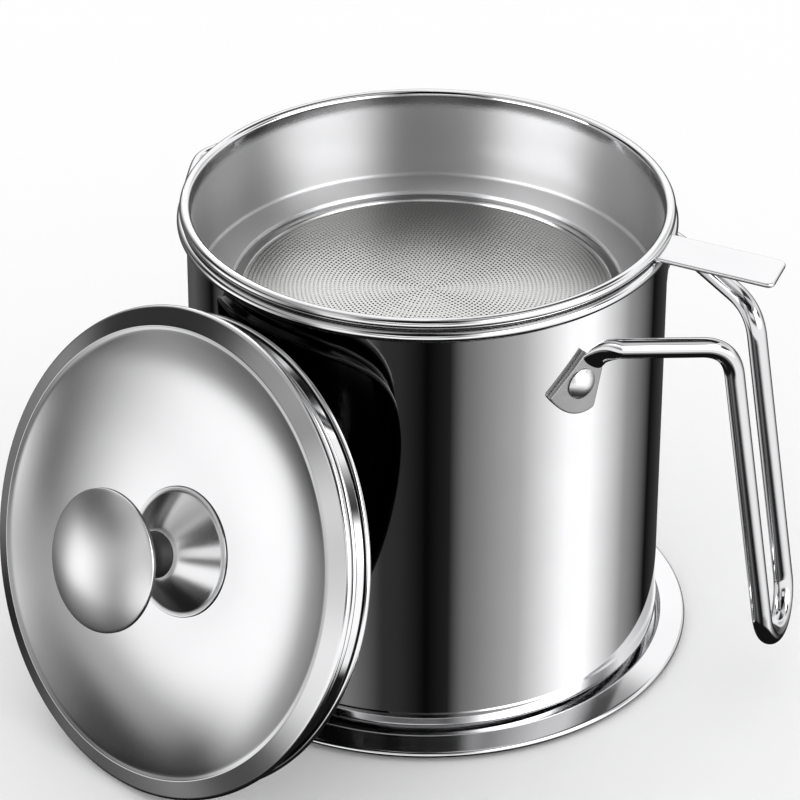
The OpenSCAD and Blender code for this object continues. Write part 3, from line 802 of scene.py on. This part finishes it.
# ---------------------------------------------------------------- studio that the steel mirrors
# Layers from low to high. Each has the span of z, the upward part of a direction, over which it
# takes over from the one before it, and stops: degrees round the object, and the grey, 0 to 255,
# that the steel shows there. More than 255 is a strong light.
LAYERS = (
    # Low: a broad dull box at the left, a black screen behind the viewer, a soft box at the right
    (None,
     ((-180, 100), (-170, 100), (-161, 125), (-150, 138), (-144, 120), (-136, 75), (-128, 70),
      (-110, 112), (-92, 50), (-83, 45), (-70, 15), (-59, 36), (-52, 102), (-24, 165), (2, 252),
      (16, 255), (43, 142), (69, 20), (95, 60), (140, 80), (165, 8), (180, 100))),
    # Level with the object: bright round the front, with a dull gap at -128
    ((-0.46, -0.37),
     ((-180, 190), (-176, 235), (-172, 255), (-156, 255), (-150, 232), (-144, 202), (-139, 174),
      (-133, 134), (-128, 92), (-123, 98), (-119, 165), (-115, 230), (-101, 245), (-50, 250),
      (0, 250), (25, 240), (50, 140), (80, 60), (110, 100), (150, 80), (162, 100), (172, 135),
      (177, 150), (180, 190))),
    # A little above it
    ((-0.02, 0.18),
     ((-180, 40), (-171, 50), (-160, 150), (-144, 165), (-128, 150), (-122, 150), (-116, 190),
      (-105, 230), (-96, 140), (-88, 60), (-60, 60), (-50, 180), (-36, 380), (4, 470), (14, 260),
      (22, 240), (110, 235), (138, 225), (150, 120), (160, 70), (170, 45), (180, 40))),
    # High: dark over the lid, a strong soft box at each side
    ((0.22, 0.36),
     ((-180, 42), (-158, 30), (-148, 50), (-139, 105), (-130, 130), (-118, 215), (-98, 130),
      (-88, 235), (-66, 235), (-56, 140), (-46, 240), (-36, 430), (-10, 450), (0, 240), (6, 80),
      (14, 35), (22, 90), (35, 245), (62, 200), (78, 190), (92, 250), (134, 250), (150, 160),
      (162, 115), (170, 55), (180, 42))),
    # Higher: dark over the lid, the strongest box at the right
    ((0.53, 0.58),
     ((-180, 180), (-165, 180), (-145, 160), (-126, 180), (-112, 240), (-100, 100), (-88, 30),
      (-68, 30), (-55, 100), (-44, 240), (-30, 470), (8, 520), (18, 180), (30, 240), (140, 250),
      (165, 200), (180, 180))),
    # Overhead
    ((0.66, 0.72),
     ((-180, 170), (-165, 150), (-150, 150), (-130, 170), (-121, 175), (-108, 110), (-100, 40),
      (-85, 20), (-49, 25), (-40, 150), (-30, 130), (-10, 180), (5, 210), (25, 215), (36, 165),
      (48, 76), (72, 50), (86, 60), (94, 180), (110, 240), (150, 240), (165, 180), (180, 170))))
# Steel shows less than the light that it mirrors, and the picture's greys are not linear
GAIN, GAMMA = 1.3, 2.2
# Span of z over which the ground under the object turns black, and that black
GROUND, GROUND_GREY = (-0.585, -0.68), 0.01

world = bpy.data.worlds.new("Studio")
bpy.context.scene.world = world
world.use_nodes = True
air = world.node_tree
air.nodes.clear()


def ramp(value, stops):
    """Light along a value that runs from 0 to 1 round the object, from a layer's stops."""
    r = air.nodes.new("ShaderNodeValToRGB")
    e = r.color_ramp.elements
    for k, (degrees, shown) in enumerate(stops):
        place = degrees / 360 + 0.5
        stop = e[k] if k < 2 else e.new(place)
        stop.position = place
        stop.color = grey(GAIN * (shown / 255) ** GAMMA)
    air.links.new(value, r.inputs["Fac"])
    return r.outputs["Color"]


x, y, z = axes(air, air.nodes.new("ShaderNodeTexCoord").outputs["Generated"])
around = calc(air, "MULTIPLY_ADD", calc(air, "ARCTAN2", y, x), 1 / (2 * math.pi), 0.5)
sky = None
for span, stops in LAYERS:
    layer = ramp(around, stops)
    sky = mixed(air, spread(air, z, *span, 0, 1), sky, layer) if span else layer
sky = mixed(air, spread(air, z, *GROUND, 0, 1), sky, grey(GROUND_GREY))

# Only mirrored rays see the studio. The camera and the floor see plain white
rays = air.nodes.new("ShaderNodeLightPath")
back = air.nodes.new("ShaderNodeBackground")
back.inputs["Strength"].default_value = 1
air.links.new(mixed(air, rays.outputs["Is Glossy Ray"], grey(1), sky), back.inputs["Color"])
air.links.new(back.outputs[0], air.nodes.new("ShaderNodeOutputWorld").inputs["Surface"])

# ---------------------------------------------------------------- camera, fitted to the photo
# Place in metres, then the directions of the picture's right, of its top and of the view
CAMERA_AT = (0.3077, -0.85937, 0.6144)
CAMERA_RIGHT = (0.9384, 0.34554, 0.00214)
CAMERA_UP = (-0.17941, 0.48191, 0.85765)
CAMERA_AHEAD = (-0.29532, 0.80521, -0.51422)
lens = bpy.data.cameras.new("Camera")
lens.lens, lens.sensor_width = 180, 36
lens.clip_start, lens.clip_end = 0.01, 50
camera = bpy.data.objects.new("Camera", lens)
turn = Matrix([[CAMERA_RIGHT[k], CAMERA_UP[k], -CAMERA_AHEAD[k]] for k in range(3)])
camera.matrix_world = Matrix.Translation(CAMERA_AT) @ turn.to_4x4()
bpy.context.collection.objects.link(camera)
scene = bpy.context.scene
scene.camera = camera
scene.view_settings.view_transform = "Standard"
